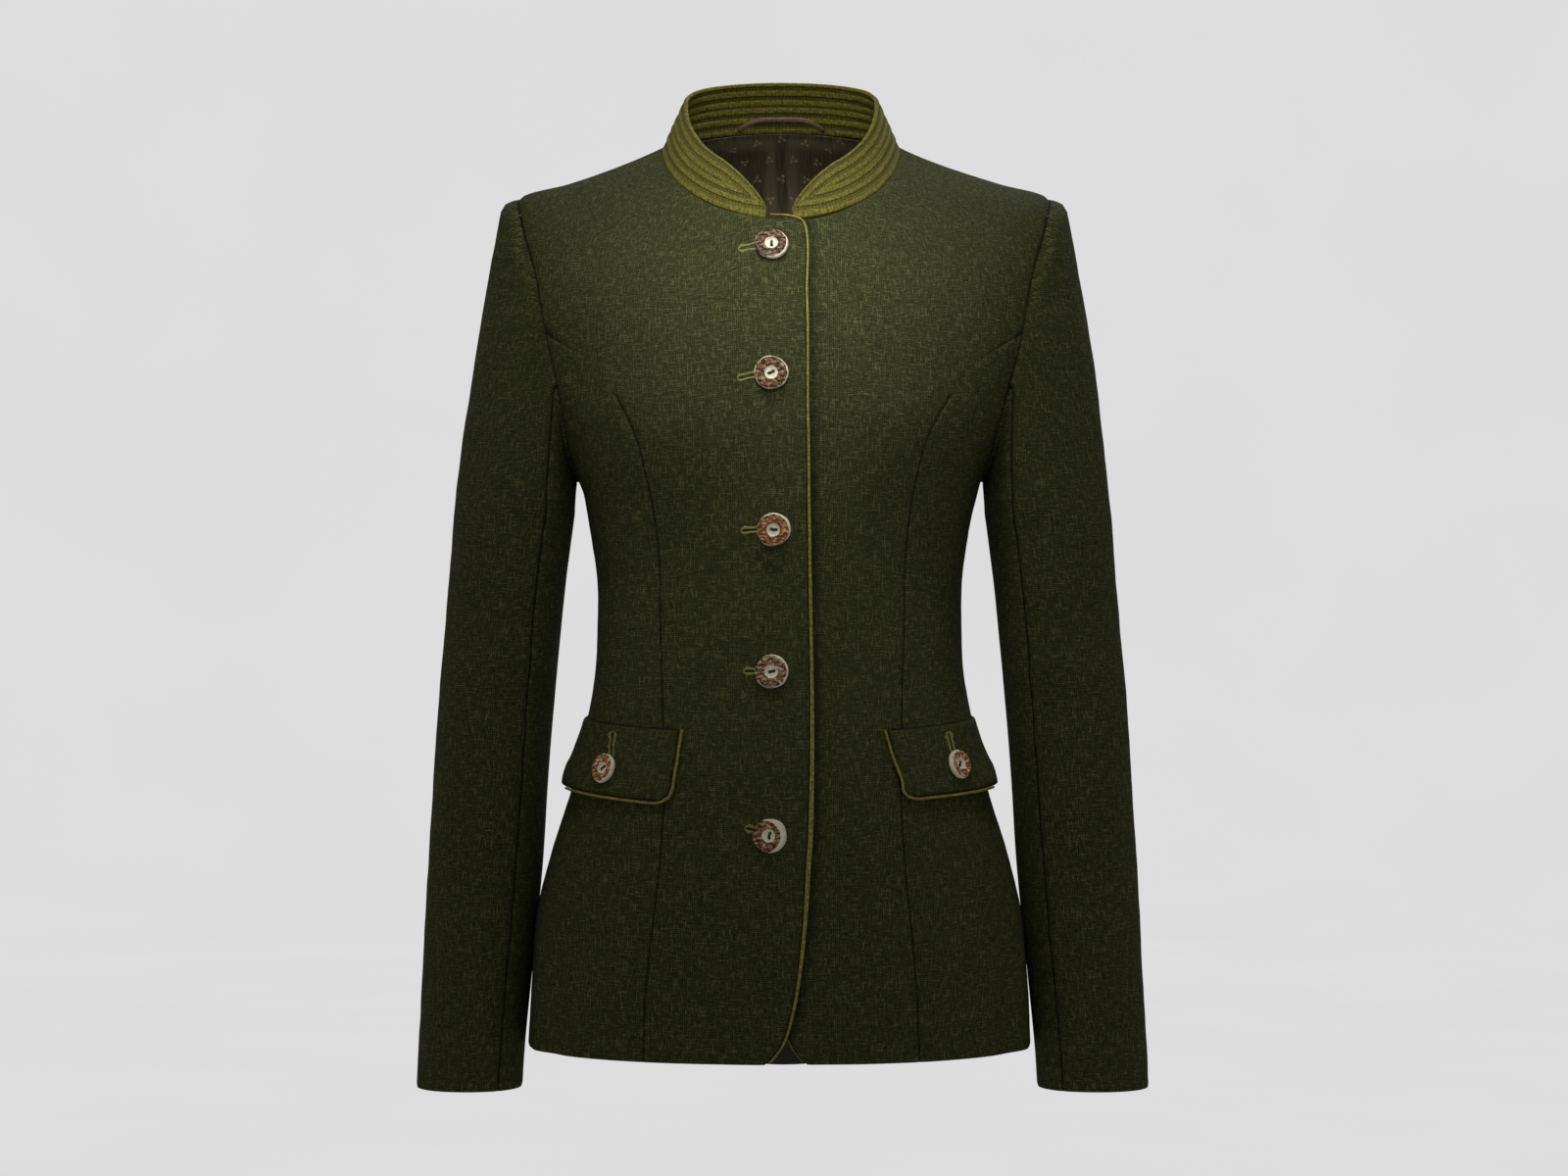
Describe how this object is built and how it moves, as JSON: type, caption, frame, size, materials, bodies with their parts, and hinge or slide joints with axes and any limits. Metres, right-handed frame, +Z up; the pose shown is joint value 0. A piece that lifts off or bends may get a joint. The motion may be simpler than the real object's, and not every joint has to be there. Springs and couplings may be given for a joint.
{
  "type": "linen jacket",
  "caption": "Women's fitted linen jacket with a quilted stand collar, princess seams, cut-away front hem, hip flaps and horn buttons, worn shape with open hollows.",
  "frame": {"origin": "on the middle plane, level with the points where the shoulder seams meet the neck, where the jacket is carried by the wearer's shoulders", "axes": "+Z up from hem to collar, front facing -Y, the wearer's left side at +X and right side at -X"},
  "size_m": [0.5236, 0.2392, 0.7238],
  "materials": {
    "linen": "matt plain weave with slubs",
    "collar_cloth": "matt quilted cloth",
    "lining": "satin weave with small tan motifs",
    "horn": "half-matt antler horn",
    "loop_tape": "satin tape"
  },
  "bodies": {
    "root": {"front_right": "linen", "front_left": "linen", "side_front_right": "linen", "side_front_left": "linen", "side_back_right": "linen", "side_back_left": "linen", "back_right": "linen", "back_left": "linen", "lining_back_right": "lining", "lining_back_left": "lining", "sleeve_right_upper": "linen", "sleeve_right_under": "linen", "sleeve_left_upper": "linen", "sleeve_left_under": "linen", "piping_front_right": "collar_cloth", "piping_front_left": "collar_cloth", "flap_right": "linen", "flap_left": "linen", "piping_flap_right": "collar_cloth", "piping_flap_left": "collar_cloth", "flap_button_right": "horn", "flap_button_left": "horn", "collar": "collar_cloth", "hanger_loop": "loop_tape", "front_button_1": "horn", "front_button_2": "horn", "front_button_3": "horn", "front_button_4": "horn", "front_button_5": "horn"}
  },
  "joints": []
}
